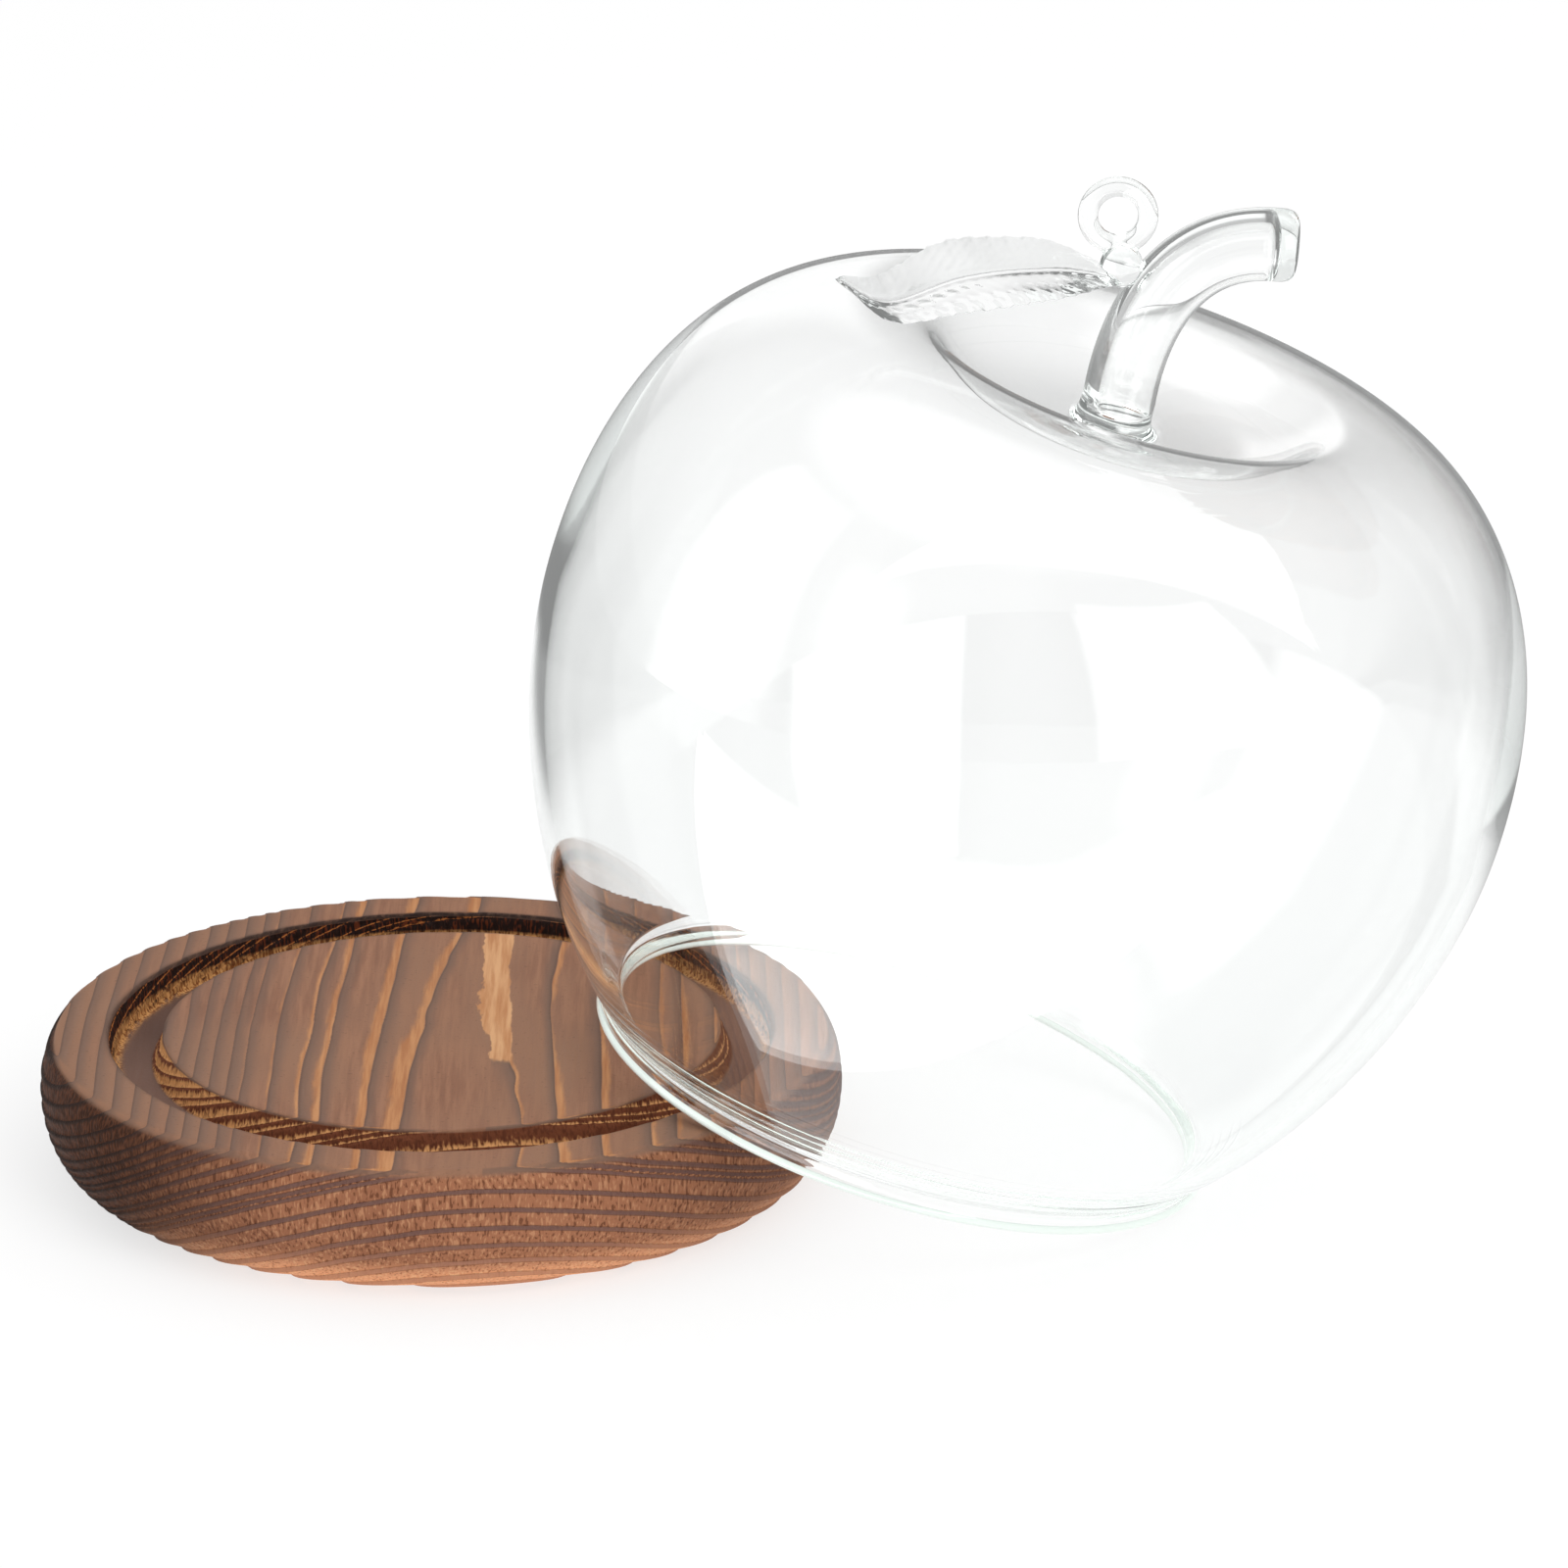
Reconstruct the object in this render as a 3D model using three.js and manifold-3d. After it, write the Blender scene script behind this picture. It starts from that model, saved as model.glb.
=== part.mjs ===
// Apple-shaped glass bell jar with its wooden base, in millimetres, +Z up.
// The origin is the centre of the base's underside. The jar is off its groove: the lowest point of
// its neck stands on the ground beside the base, and the neck leans on the base's top edge.
import * as THREE from 'three';
import { mergeVertices } from 'three/addons/utils/BufferGeometryUtils.js';
import Module from 'manifold-3d';

const wasm = await Module();
wasm.setup();

// ---- driving dimensions ----
const GAP = 0.3; // clearance that pieces keep where the real ones are fused or rest on each other
const ROUND = 48; // facets round a turned piece

const BASE_THICKNESS = 22.2;
const BASE_TOP_RADIUS = 62.3;
const BASE_BELLY_RADIUS = 64.8;
const BASE_BELLY_HEIGHT = 13.8;
const BASE_FOOT_RADIUS = 54.5;
const BASE_EDGE_ROUND = 0.8;
const BASE_SHOULDER_DEPTH = 3.5; // how far below the top the belly's upright stretch ends
const GROOVE_OUTER_RADIUS = 53.7;
const GROOVE_INNER_RADIUS = 44.8;
const GROOVE_DEPTH = 5.0;
const GROOVE_OUTER_SLANT = 1.3; // how far each wall leans in towards the groove's floor
const GROOVE_INNER_SLANT = 1.8;

const NECK_RADIUS = 51.1;
const WALL = 2.4;
const NECK_HEIGHT = 3.6;
const BELLY_RADIUS = 78.8; // the widest point of the jar
const BELLY_HEIGHT = 70.5;
const CREST_RADIUS = 38.5; // the lip of the dimple
const CREST_HEIGHT = 127.4;
const DIMPLE_FLOOR_HEIGHT = 117.7;
const DIMPLE_FLOOR_RADIUS = 9.7;

const TILT = THREE.MathUtils.degToRad(16.4); // how far the jar leans from upright
const LEAN_AZIMUTH = THREE.MathUtils.degToRad(-4.8); // the way it leans, from +X
const LEAN_DISTANCE = 74.4; // from the base's centre to the middle of the neck's rim
const GROUND_CLEARANCE = 0.1;

const STEM_RADIUS = 5.75;
const STEM_BORE_RADIUS = 4.1;
const STEM_CAP_LENGTH = 3.0;
const WELD_RADIUS = 9.2;
const WELD_BORE_RADIUS = STEM_RADIUS + GAP + 0.15; // the stem leans a little inside it
const WELD_HEIGHT = 2.4;

const RING_RADIUS = 4.7; // to the middle of the rod
const RING_ROD_RADIUS = 1.6;
const RING_HEIGHT = 150.4; // of its middle, above the neck's rim
const RING_OFFSET = -9.3; // of its middle, from the jar's axis
const BEAD_SIZE = new THREE.Vector3(6.8, 6.0, 7.0);
const BEAD_CENTRE = new THREE.Vector3(-6.6, -1.6, 143.2);
const LEAF_WIDTH = 15.8;
const LEAF_END_WIDTH = 1.8;
const LEAF_THICKNESS = 1.9;
const LEAF_THINNING = 0.35; // share of the thickness lost at the blade's edges
const LEAF_CUP = 1.6; // how far the blade's edges stand above its midrib
const LEAF_ROLL = THREE.MathUtils.degToRad(-20);

// ---- helpers ----
function toManifold(geometry) {
  const plain = geometry.clone();
  plain.deleteAttribute('normal');
  plain.deleteAttribute('uv');
  const merged = mergeVertices(plain, 1e-4);
  const mesh = new wasm.Mesh({
    numProp: 3,
    vertProperties: new Float32Array(merged.attributes.position.array),
    triVerts: new Uint32Array(merged.index.array),
  });
  return new wasm.Manifold(mesh);
}

function fromManifold(solid) {
  const mesh = solid.getMesh();
  const geometry = new THREE.BufferGeometry();
  geometry.setAttribute('position', new THREE.BufferAttribute(mesh.vertProperties, 3));
  geometry.setIndex(new THREE.BufferAttribute(mesh.triVerts, 1));
  geometry.computeVertexNormals();
  return geometry;
}

// A turned body about +Z, from (radius, height) points that run anticlockwise round the section.
function turned(points, facets = ROUND) {
  const geometry = new THREE.LatheGeometry(points, facets);
  geometry.rotateX(Math.PI / 2);
  return geometry;
}

const point = (radius, height) => new THREE.Vector2(radius, height);

function glass(name, geometry) {
  const material = new THREE.MeshStandardMaterial({
    color: 0xe6efec,
    roughness: 0.03,
    metalness: 0,
    transparent: true,
    opacity: 0.35,
  });
  const mesh = new THREE.Mesh(geometry, material);
  mesh.name = name;
  return mesh;
}

// ---- wood base ----
function woodBase() {
  const top = BASE_THICKNESS;
  const floor = BASE_THICKNESS - GROOVE_DEPTH;
  const lowerSide = new THREE.CubicBezierCurve(
    point(BASE_FOOT_RADIUS, 0),
    point(BASE_FOOT_RADIUS + 6.5, 0.6),
    point(BASE_BELLY_RADIUS, BASE_BELLY_HEIGHT * 0.45),
    point(BASE_BELLY_RADIUS, BASE_BELLY_HEIGHT),
  );
  const upperSide = new THREE.QuadraticBezierCurve(
    point(BASE_BELLY_RADIUS, BASE_BELLY_HEIGHT),
    point(BASE_BELLY_RADIUS, top - BASE_SHOULDER_DEPTH),
    point(BASE_TOP_RADIUS + 0.3, top - BASE_EDGE_ROUND),
  );
  const section = [
    point(0, 0),
    ...lowerSide.getPoints(7),
    ...upperSide.getPoints(3).slice(1),
    point(BASE_TOP_RADIUS - BASE_EDGE_ROUND, top),
    point(GROOVE_OUTER_RADIUS, top),
    point(GROOVE_OUTER_RADIUS - GROOVE_OUTER_SLANT, floor),
    point(GROOVE_INNER_RADIUS + GROOVE_INNER_SLANT, floor),
    point(GROOVE_INNER_RADIUS, top),
    point(0, top),
  ];
  const material = new THREE.MeshStandardMaterial({ color: 0x6b4a36, roughness: 0.8, metalness: 0 });
  const mesh = new THREE.Mesh(turned(section), material);
  mesh.name = 'wood_base';
  return mesh;
}

// ---- glass jar, in its own frame: rim plane at z = 0, axis along +Z ----
function jarShell() {
  // the outer surface: from the crease above the neck, over the shoulder, to the dimple's floor
  const outer = new THREE.CurvePath();
  outer.add(new THREE.CubicBezierCurve(
    point(NECK_RADIUS - 0.2, NECK_HEIGHT),
    point(NECK_RADIUS + 13.0, NECK_HEIGHT + 11.8),
    point(BELLY_RADIUS, BELLY_HEIGHT - 27.3),
    point(BELLY_RADIUS, BELLY_HEIGHT),
  ));
  outer.add(new THREE.CubicBezierCurve(
    point(BELLY_RADIUS, BELLY_HEIGHT),
    point(BELLY_RADIUS, BELLY_HEIGHT + 37.0),
    point(CREST_RADIUS + 21.0, CREST_HEIGHT),
    point(CREST_RADIUS, CREST_HEIGHT),
  ));
  outer.add(new THREE.CubicBezierCurve(
    point(CREST_RADIUS, CREST_HEIGHT),
    point(CREST_RADIUS - 11.0, CREST_HEIGHT),
    point(CREST_RADIUS - 6.0, DIMPLE_FLOOR_HEIGHT + 0.1),
    point(DIMPLE_FLOOR_RADIUS, DIMPLE_FLOOR_HEIGHT),
  ));
  const steps = 26;
  const outside = [];
  const inside = [];
  for (let i = 0; i <= steps; i += 1) {
    const t = i / steps;
    const at = outer.getPointAt(t);
    const along = outer.getTangentAt(t);
    outside.push(at);
    inside.push(point(at.x - along.y * WALL, at.y + along.x * WALL));
  }
  const section = [
    point(NECK_RADIUS - WALL, WALL / 3),
    point(NECK_RADIUS - WALL * 0.7, 0),
    point(NECK_RADIUS - WALL * 0.3, 0),
    point(NECK_RADIUS, WALL / 3),
    ...outside,
    point(0, DIMPLE_FLOOR_HEIGHT),
    point(0, DIMPLE_FLOOR_HEIGHT - WALL),
    ...inside.reverse(),
    point(NECK_RADIUS - WALL, WALL / 3),
  ];
  return glass('glass_dome', turned(section));
}

// ---- stem: a tube that bends over, open at its foot and closed at its end ----
const STEM_FOOT = DIMPLE_FLOOR_HEIGHT + GAP;
const stemLine = new THREE.CubicBezierCurve3(
  new THREE.Vector3(0.6, 0, STEM_FOOT - 1.6), // starts below the foot, which is cut level
  new THREE.Vector3(-2.6, 0, STEM_FOOT + 12.8),
  new THREE.Vector3(-1.3, 0, STEM_FOOT + 31.6),
  new THREE.Vector3(16.2, 0, STEM_FOOT + 34.9),
);

function stemRod(radius) {
  const disc = new THREE.Shape();
  disc.absarc(0, 0, radius, 0, Math.PI * 2, false);
  return new THREE.ExtrudeGeometry(disc, { curveSegments: 12, steps: 14, extrudePath: stemLine });
}

// A turned cap set on the end of the stem, facing along it.
function stemCap(radius, length) {
  const corner = length * 0.75;
  const sides = new THREE.QuadraticBezierCurve(
    point(radius, length - corner),
    point(radius, length * 0.92),
    point(radius - corner, length * 0.97),
  );
  const section = [point(0, -1), point(radius, -1), ...sides.getPoints(4), point(0, length)];
  const cap = turned(section, 24);
  const way = stemLine.getTangentAt(1);
  cap.rotateY(Math.atan2(way.x, way.z));
  const end = stemLine.getPointAt(1);
  cap.translate(end.x, end.y, end.z);
  return cap;
}

function stemSolid(radius, capLength) {
  return toManifold(stemRod(radius)).add(toManifold(stemCap(radius, capLength)));
}

function stem() {
  const wall = STEM_RADIUS - STEM_BORE_RADIUS;
  const bore = stemSolid(STEM_BORE_RADIUS, STEM_CAP_LENGTH - wall);
  const below = new THREE.BoxGeometry(30, 30, 10).translate(0, 0, STEM_FOOT - 5);
  const body = stemSolid(STEM_RADIUS, STEM_CAP_LENGTH).subtract(bore).subtract(toManifold(below));
  return glass('glass_stem', fromManifold(body));
}

// ---- weld: the gather of glass round the stem's foot ----
function weld() {
  const section = [
    point(WELD_BORE_RADIUS, STEM_FOOT),
    point(WELD_RADIUS, STEM_FOOT),
    point(WELD_RADIUS - 0.6, STEM_FOOT + WELD_HEIGHT * 0.45),
    point(WELD_RADIUS - 2.0, STEM_FOOT + WELD_HEIGHT * 0.85),
    point(WELD_BORE_RADIUS + 0.5, STEM_FOOT + WELD_HEIGHT),
    point(WELD_BORE_RADIUS, STEM_FOOT + WELD_HEIGHT * 0.9),
    point(WELD_BORE_RADIUS, STEM_FOOT),
  ];
  return glass('stem_weld', turned(section, 32));
}

// ---- hanging ring ----
function ringSolid(rodRadius) {
  const ring = new THREE.TorusGeometry(RING_RADIUS, rodRadius, 10, 28);
  ring.rotateX(Math.PI / 2);
  ring.translate(RING_OFFSET, 0, RING_HEIGHT);
  return ring;
}

// ---- leaf: a ball flattened, bent along the midrib and cupped ----
const midrib = new THREE.CatmullRomCurve3([
  new THREE.Vector3(-7.4, -3.4, 141.0),
  new THREE.Vector3(-19.0, -8.6, 141.2),
  new THREE.Vector3(-31.4, -15.0, 138.3),
  new THREE.Vector3(-41.8, -20.0, 133.0),
  new THREE.Vector3(-50.6, -24.4, 135.4),
]);

// half the blade's width at a place along the midrib, from its root (0) to its tip (1)
function leafHalfWidth(t) {
  const bulge = Math.pow(Math.sin(Math.PI * Math.pow(t, 0.9)), 0.85);
  return LEAF_END_WIDTH / 2 + ((LEAF_WIDTH - LEAF_END_WIDTH) / 2) * bulge;
}

function leafGeometry(swell) {
  const ball = new THREE.SphereGeometry(1, 20, 26);
  const places = ball.attributes.position;
  for (let i = 0; i < places.count; i += 1) {
    const rise = THREE.MathUtils.clamp(places.getY(i), -1, 1);
    const t = (1 - rise) / 2;
    const angle = Math.atan2(places.getZ(i), places.getX(i));
    const spread = Math.hypot(places.getX(i), places.getZ(i)) < 1e-6 ? 0 : 1;
    const across = spread * Math.cos(angle) * (leafHalfWidth(t) + swell);
    const share = across / leafHalfWidth(t);
    const thick = (LEAF_THICKNESS / 2) * (1 - LEAF_THINNING * share * share) + swell;
    const up = spread * Math.sin(angle) * thick + LEAF_CUP * share * share;
    const at = midrib.getPointAt(t);
    const along = midrib.getTangentAt(t);
    const side = new THREE.Vector3(-along.y, along.x, 0).normalize();
    side.applyAxisAngle(along, LEAF_ROLL);
    const above = new THREE.Vector3().crossVectors(along, side);
    at.addScaledVector(side, across).addScaledVector(above, up);
    at.addScaledVector(along, spread ? 0 : (t < 0.5 ? -swell : swell));
    places.setXYZ(i, at.x, at.y, at.z);
  }
  return ball;
}

// ---- bead: the lump that fuses the leaf and the ring to the stem ----
function bead() {
  const lump = new THREE.SphereGeometry(1, 20, 14);
  lump.scale(BEAD_SIZE.x / 2, BEAD_SIZE.y / 2, BEAD_SIZE.z / 2);
  lump.translate(BEAD_CENTRE.x, BEAD_CENTRE.y, BEAD_CENTRE.z);
  const body = toManifold(lump)
    .subtract(stemSolid(STEM_RADIUS + GAP, STEM_CAP_LENGTH))
    .subtract(toManifold(ringSolid(RING_ROD_RADIUS + GAP)))
    .subtract(toManifold(leafGeometry(GAP)));
  return glass('leaf_bead', fromManifold(body));
}

// ---- assembly ----
const jar = new THREE.Group();
const stemWay = new THREE.Group(); // turned back, so that the stem bends towards +X
stemWay.rotation.z = -LEAN_AZIMUTH;
stemWay.add(
  jarShell(),
  weld(),
  stem(),
  bead(),
  glass('glass_leaf', leafGeometry(0)),
  glass('hanging_ring', ringSolid(RING_ROD_RADIUS)),
);
jar.add(stemWay);
jar.rotation.set(0, TILT, LEAN_AZIMUTH, 'ZYX');
jar.position.set(
  LEAN_DISTANCE * Math.cos(LEAN_AZIMUTH),
  LEAN_DISTANCE * Math.sin(LEAN_AZIMUTH),
  NECK_RADIUS * Math.sin(TILT) + GROUND_CLEARANCE,
);

const assembly = new THREE.Group();
assembly.add(woodBase(), jar);
export default assembly;
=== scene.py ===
# Apple-shaped glass bell jar off its groove, leaning on its round base of charred, wire-brushed wood.
import math

import bpy
import numpy as np
from mathutils import Matrix, Vector


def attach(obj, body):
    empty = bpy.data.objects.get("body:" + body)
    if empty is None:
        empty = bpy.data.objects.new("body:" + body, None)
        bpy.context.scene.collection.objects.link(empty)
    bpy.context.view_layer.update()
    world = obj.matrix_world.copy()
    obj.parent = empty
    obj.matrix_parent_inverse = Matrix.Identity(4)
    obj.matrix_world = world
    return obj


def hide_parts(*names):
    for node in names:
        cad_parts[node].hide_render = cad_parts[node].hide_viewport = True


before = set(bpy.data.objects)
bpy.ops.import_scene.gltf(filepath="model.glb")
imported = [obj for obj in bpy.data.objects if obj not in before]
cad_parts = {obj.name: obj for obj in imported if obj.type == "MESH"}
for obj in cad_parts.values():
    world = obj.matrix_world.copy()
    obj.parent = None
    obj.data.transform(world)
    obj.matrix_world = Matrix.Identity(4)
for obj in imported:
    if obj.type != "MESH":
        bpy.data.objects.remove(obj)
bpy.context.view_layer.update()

MM = 0.001
FULL_TURN = 2 * math.pi

# ---------------------------------------------------------------- camera
TARGET = Vector((0.0555, 0.0, 0.064))
DISTANCE = 1.5
ELEVATION = math.radians(19.5)
VIEW_WIDTH = 0.2512  # what the frame takes in at the target
SENSOR = 36.0

camera_data = bpy.data.cameras.new("camera")
camera_data.sensor_width = SENSOR
camera_data.lens = SENSOR * DISTANCE / VIEW_WIDTH
camera = bpy.data.objects.new("camera", camera_data)
camera.location = TARGET + DISTANCE * Vector((0, -math.cos(ELEVATION), math.sin(ELEVATION)))
camera.rotation_euler = (TARGET - camera.location).to_track_quat("-Z", "Y").to_euler()
bpy.context.scene.collection.objects.link(camera)
bpy.context.scene.camera = camera
bpy.context.scene.view_settings.view_transform = "Standard"


# ---------------------------------------------------------------- noise and lines
def lattice(i, j, k, seed):
    """A repeatable number from -1 to 1 for each whole-number place."""
    h = (i * 374761393 + j * 668265263 + k * 2147483647 + seed * 974634777) & 0xFFFFFFFF
    h = ((h ^ (h >> 13)) * 1274126177) & 0xFFFFFFFF
    h = ((h ^ (h >> 16)) * 2246822519) & 0xFFFFFFFF
    return ((h ^ (h >> 15)) & 0xFFFFFF) / 8388607.5 - 1.0


def noise(p, cell, seed):
    """Smooth noise from -1 to 1 at points p, with cells of the given size along x, y and z."""
    q = np.asarray(p, float) / np.asarray(cell, float)
    base = np.floor(q).astype(np.int64)
    f = q - base
    f = f * f * f * (f * (f * 6 - 15) + 10)
    total = 0.0
    for a in (0, 1):
        for b in (0, 1):
            for c in (0, 1):
                weight = (
                    (f[..., 0] if a else 1 - f[..., 0])
                    * (f[..., 1] if b else 1 - f[..., 1])
                    * (f[..., 2] if c else 1 - f[..., 2])
                )
                corner = lattice(base[..., 0] + a, base[..., 1] + b, base[..., 2] + c, seed)
                total = total + weight * corner
    return total


def ease(x, lo, hi):
    """A smooth climb from 0 at lo to 1 at hi."""
    t = np.clip((np.asarray(x, float) - lo) / (hi - lo), 0, 1)
    return t * t * (3 - 2 * t)


def unit(vectors):
    return vectors / np.linalg.norm(vectors, axis=-1)[..., None]


def heading(line):
    """The way a line runs, at each of its points."""
    return unit(np.gradient(line, axis=0))


def bezier(points, count):
    """A Bezier curve with three or four control points."""
    t = np.linspace(0, 1, count)[:, None]
    p = [np.array(q, float) for q in points]
    if len(p) == 3:
        return (1 - t) ** 2 * p[0] + 2 * (1 - t) * t * p[1] + t * t * p[2]
    return (1 - t) ** 3 * p[0] + 3 * (1 - t) ** 2 * t * p[1] + 3 * (1 - t) * t * t * p[2] + t**3 * p[3]


def spline(points, count):
    """A Catmull-Rom line through the points, with count steps from each to the next."""
    p = np.array(points, float)
    p = np.concatenate([[2 * p[0] - p[1]], p, [2 * p[-1] - p[-2]]])
    t = np.linspace(0, 1, count, endpoint=False)[:, None]
    out = []
    for a, b, c, d in zip(p, p[1:], p[2:], p[3:]):
        straight = 2 * b + (c - a) * t
        out.append(0.5 * (straight + (2 * a - 5 * b + 4 * c - d) * t**2 + (3 * b - a - 3 * c + d) * t**3))
    return np.concatenate(out + [p[-2][None]])


def even(points, step):
    """The same line, with points about one step apart."""
    points = np.asarray(points, float)
    along = np.concatenate([[0], np.cumsum(np.linalg.norm(np.diff(points, axis=0), axis=1))])
    want = np.linspace(0, along[-1], max(2, int(round(along[-1] / step)) + 1))
    return np.stack([np.interp(want, along, points[:, i]) for i in range(points.shape[1])], 1)


def around(count):
    """Angles all the way round."""
    return np.linspace(0, FULL_TURN, count, endpoint=False)


# ---------------------------------------------------------------- surfaces
def turned(profile, angle):
    """Rings of points round the Z axis, through a line of (radius, height) points."""
    r, z = profile[:, 0][:, None], profile[:, 1][:, None]
    return np.stack([r * np.cos(angle), r * np.sin(angle), z + 0 * angle], -1)


def strip(rings, start, end):
    """Vertices and faces of a closed surface through rings of points, shut at both ends by one point."""
    rows, cols = rings.shape[:2]
    verts = np.concatenate([rings.reshape(-1, 3), [start, end]])
    i, j = np.meshgrid(np.arange(rows - 1), np.arange(cols), indexing="ij")
    k = (j + 1) % cols
    quads = np.stack([i * cols + j, i * cols + k, (i + 1) * cols + k, (i + 1) * cols + j], -1)
    a = np.arange(cols)
    b = (a + 1) % cols
    last = (rows - 1) * cols
    first_fan = np.stack([b, a, np.full(cols, rows * cols)], 1)
    last_fan = np.stack([last + a, last + b, np.full(cols, rows * cols + 1)], 1)
    return verts, quads.reshape(-1, 4).tolist() + first_fan.tolist() + last_fan.tolist()


def wrapped(rings):
    """Vertices and faces of a closed surface that runs round both ways, as a torus does."""
    rows, cols = rings.shape[:2]
    i, j = np.meshgrid(np.arange(rows), np.arange(cols), indexing="ij")
    k, m = (i + 1) % rows, (j + 1) % cols
    faces = np.stack([i * cols + j, i * cols + m, k * cols + m, k * cols + j], -1)
    return rings.reshape(-1, 3), faces.reshape(-1, 4).tolist()


def inside_out(faces):
    return [list(reversed(face)) for face in faces]


def smooth(obj):
    obj.data.polygons.foreach_set("use_smooth", [True] * len(obj.data.polygons))


def make(name, verts, faces, material):
    mesh = bpy.data.meshes.new(name)
    mesh.from_pydata(np.asarray(verts).tolist(), [], faces)
    mesh.update()
    mesh.materials.append(material)
    obj = bpy.data.objects.new(name, mesh)
    smooth(obj)
    bpy.context.scene.collection.objects.link(obj)
    return obj


def volume(obj):
    """Negative where the faces look inwards."""
    mesh = obj.data
    mesh.calc_loop_triangles()
    co = np.zeros(len(mesh.vertices) * 3)
    mesh.vertices.foreach_get("co", co)
    co = co.reshape(-1, 3)
    tri = np.array([t.vertices for t in mesh.loop_triangles])
    a, b, c = co[tri[:, 0]], co[tri[:, 1]], co[tri[:, 2]]
    return float((a * np.cross(b, c)).sum() / 6)


def outward(name, verts, faces, material):
    """The mesh with all its faces looking outwards."""
    obj = make(name, verts, faces, material)
    if volume(obj) < 0:
        obj.data.flip_normals()
    return obj


def apply_modifiers(obj):
    bpy.context.view_layer.update()
    graph = bpy.context.evaluated_depsgraph_get()
    mesh = bpy.data.meshes.new_from_object(obj.evaluated_get(graph))
    old = obj.data
    obj.modifiers.clear()
    obj.data = mesh
    bpy.data.meshes.remove(old)


def united(first, *others):
    """The first object with the others fused to it."""
    for other in others:
        modifier = first.modifiers.new("fuse", "BOOLEAN")
        modifier.operation, modifier.solver, modifier.object = "UNION", "MANIFOLD", other
        apply_modifiers(first)
        bpy.data.objects.remove(other)
    return first


# ---------------------------------------------------------------- node helpers
class Nodes:
    def __init__(self, owner):
        owner.use_nodes = True
        self.tree = owner.node_tree
        self.tree.nodes.clear()

    def add(self, kind, **settings):
        node = self.tree.nodes.new(kind)
        for key, value in settings.items():
            setattr(node, key, value)
        return node

    def put(self, socket, value):
        if isinstance(value, bpy.types.NodeSocket):
            self.tree.links.new(value, socket)
        else:
            socket.default_value = value

    def math(self, operation, a, b=0.0):
        node = self.add("ShaderNodeMath", operation=operation)
        self.put(node.inputs[0], a)
        self.put(node.inputs[1], b)
        return node.outputs[0]

    def plus(self, a, b):
        return self.math("ADD", a, b)

    def minus(self, a, b):
        return self.math("SUBTRACT", a, b)

    def times(self, a, b):
        return self.math("MULTIPLY", a, b)

    def most(self, a, b):
        return self.math("MAXIMUM", a, b)

    def least(self, a, b):
        return self.math("MINIMUM", a, b)

    def size(self, a):
        return self.math("ABSOLUTE", a)

    def swing(self, value, by):
        """A value from 0 to 1 made into one that swings by this much in all, about 0."""
        return self.times(self.minus(value, 0.5), by)

    def ramp(self, value, lo, hi, to_lo=0.0, to_hi=1.0):
        """A smooth change from to_lo at lo to to_hi at hi."""
        node = self.add("ShaderNodeMapRange", interpolation_type="SMOOTHSTEP")
        for socket, v in zip(node.inputs, (value, lo, hi, to_lo, to_hi)):
            self.put(socket, v)
        return node.outputs[0]

    def mix(self, share, a, b):
        """The colour a, with this share of b."""
        node = self.add("ShaderNodeMix", data_type="RGBA")
        self.put(node.inputs["Factor"], share)
        for socket, colour in ((6, a), (7, b)):
            is_socket = isinstance(colour, bpy.types.NodeSocket)
            self.put(node.inputs[socket], colour if is_socket else (*colour, 1.0))
        return node.outputs[2]

    def blend(self, share, a, b):
        """The shader a, with this share of b."""
        node = self.add("ShaderNodeMixShader")
        for socket, value in zip(node.inputs, (share, a, b)):
            self.put(socket, value)
        return node.outputs[0]

    def emission(self, strength):
        node = self.add("ShaderNodeEmission")
        self.put(node.inputs["Strength"], strength)
        return node.outputs[0]

    def attribute(self, name):
        return self.add("ShaderNodeAttribute", attribute_name=name).outputs["Fac"]

    def split(self, vector):
        node = self.add("ShaderNodeSeparateXYZ")
        self.put(node.inputs[0], vector)
        return node.outputs

    def speckle(self, vector, stretch, scale, detail=2.0, roughness=0.5):
        """Noise from 0 to 1, drawn out along the axes with a small stretch."""
        mapping = self.add("ShaderNodeMapping")
        self.put(mapping.inputs["Vector"], vector)
        mapping.inputs["Scale"].default_value = stretch
        node = self.add("ShaderNodeTexNoise")
        self.put(node.inputs["Vector"], mapping.outputs[0])
        node.inputs["Scale"].default_value = scale
        node.inputs["Detail"].default_value = detail
        node.inputs["Roughness"].default_value = roughness
        return node.outputs["Fac"]

    def steps(self, index, values):
        """values[i] where i <= index < i + 1, each of them from 0 to 1."""
        node = self.add("ShaderNodeValToRGB")
        node.color_ramp.interpolation = "CONSTANT"
        stops = node.color_ramp.elements
        stops.remove(stops[1])
        for i, value in enumerate(values):
            stop = stops[0] if i == 0 else stops.new(i / len(values))
            stop.position = i / len(values)
            stop.color = (value, value, value, 1)
        middle = self.plus(self.math("FLOOR", index), 0.5)
        self.put(node.inputs["Fac"], self.math("DIVIDE", middle, float(len(values))))
        return node.outputs["Color"]

    def finish(self, surface, inside=None, kind="ShaderNodeOutputMaterial"):
        out = self.add(kind)
        self.put(out.inputs["Surface"], surface)
        if inside is not None:
            self.put(out.inputs["Volume"], inside)


def srgb(*levels):
    """The linear colour of red, green and blue levels from 0 to 255."""
    shares = [level / 255 for level in levels]
    return tuple(c / 12.92 if c <= 10 / 255 else ((c + 0.055) / 1.055) ** 2.4 for c in shares)


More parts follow.
